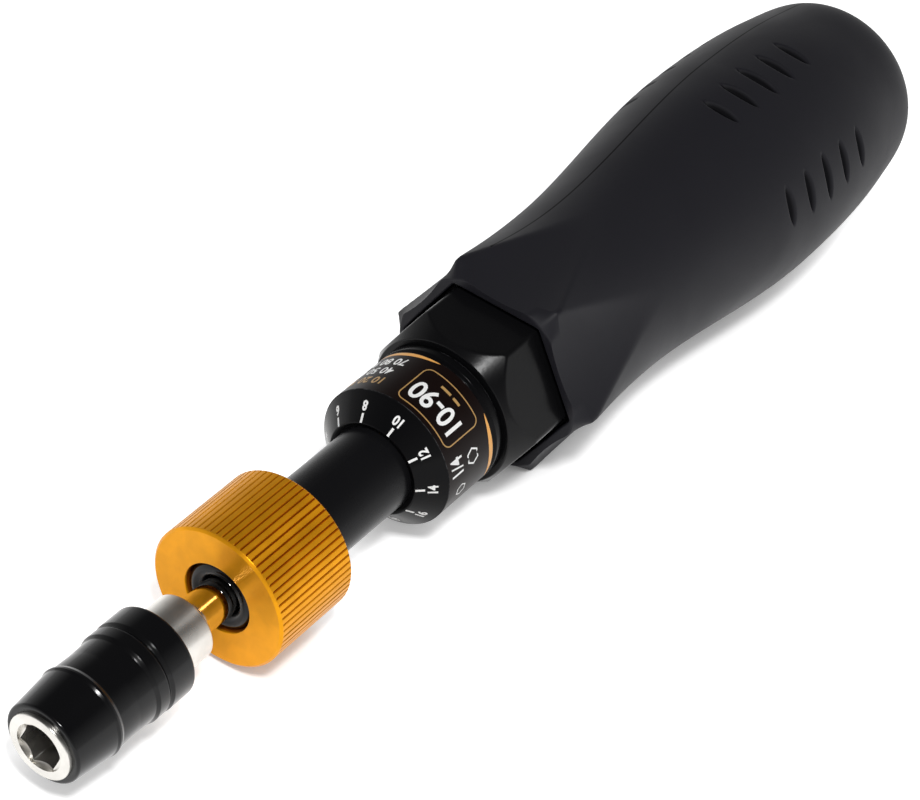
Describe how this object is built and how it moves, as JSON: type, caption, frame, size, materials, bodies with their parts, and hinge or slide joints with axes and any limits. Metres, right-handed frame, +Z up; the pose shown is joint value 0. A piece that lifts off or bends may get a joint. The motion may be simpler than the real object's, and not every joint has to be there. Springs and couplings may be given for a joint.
{
  "type": "torque screwdriver",
  "caption": "Adjustable torque screwdriver with a quick-release hexagon bit holder, a fluted knob, a numbered dial and a moulded black handle.",
  "frame": {"origin": "middle of the mouth of the bit socket, on the tool's axis", "axes": "+X towards the tail, along the bench, +Z up; the tool lies on its handle, so its axis climbs 3.19 degrees towards the tail"},
  "size_m": [0.2185, 0.0412, 0.0416],
  "materials": {
    "handle_plastic": "matt moulded, faintly soft",
    "body_black": "gloss black",
    "dial_black": "gloss black with white figures",
    "label_print": "printed dark brown band",
    "plain_steel": "turned",
    "bronze": "sintered",
    "socket_steel": "satin",
    "holder_steel": "satin turned",
    "spring_steel": "drawn wire",
    "shaft_steel": "ground and polished",
    "ball_steel": "polished",
    "collar_black": "gloss black",
    "knob_gold": "amber anodised",
    "o_ring_rubber": "glossy",
    "tube_black": "satin black"
  },
  "bodies": {
    "handle_body": {"handle": "handle_plastic", "body_tube": "body_black", "dial_collar": "dial_black", "dial_label": "label_print", "rear_plug": "plain_steel", "rear_bush": "bronze", "tail_socket": "socket_steel"},
    "output": {"bit_holder": "holder_steel", "stop_ring": "spring_steel", "drive_shaft": "shaft_steel", "clutch_driver": "plain_steel", "driver_pin": "plain_steel", "clutch_balls": "ball_steel", "rear_washer": "plain_steel", "shaft_circlip": "spring_steel"},
    "collar": {"release_collar": "collar_black", "collar_bush": "bronze", "collar_spring": "spring_steel"},
    "ball": {"locking_ball": "ball_steel"},
    "carriage": {"spring_seat": "plain_steel", "thrust_washer": "plain_steel", "thrust_balls": "ball_steel", "torque_spring": "spring_steel"},
    "adjuster": {"adjuster_knob": "knob_gold", "o_ring": "o_ring_rubber", "scale_tube": "tube_black", "tube_bush": "bronze"},
    "plate": {"clutch_plate": "plain_steel"}
  },
  "joints": [
    {"name": "output_turn", "type": "hinge", "parent": "handle_body", "child": "output", "pos_m": [0, 0, 0], "axis": [0.9985, 0, 0.0556], "continuous": true},
    {"name": "collar_slide", "type": "slide", "parent": "output", "child": "collar", "axis": [0.9985, 0, 0.0556], "range_m": [0, 0.0025], "stiffness_N_per_m": 600, "springref_m": -0.003, "deforming": ["collar_spring"]},
    {"name": "ball_slide", "type": "slide", "parent": "output", "child": "ball", "axis": [-0.0556, 0, 0.9985], "range_m": [0, 0.0008]},
    {"name": "carriage_slide", "type": "slide", "parent": "handle_body", "child": "carriage", "axis": [0.9985, 0, 0.0556], "range_m": [-0.001, 0.007], "deforming": ["torque_spring"]},
    {"name": "adjuster_turn", "type": "hinge", "parent": "carriage", "child": "adjuster", "pos_m": [0.10384, 0, 0.00579], "axis": [0.9985, 0, 0.0556], "range_deg": [-181, 1261]},
    {"name": "clutch_slide", "type": "slide", "parent": "handle_body", "child": "plate", "axis": [0.9985, 0, 0.0556], "range_m": [0, 0.0008]}
  ],
  "couplings": [
    {"joint": "ball_slide", "follows": "collar_slide", "ratio": 0.3},
    {"joint": "adjuster_turn", "follows": "carriage_slide", "rad_per_m": 3141.6}
  ]
}
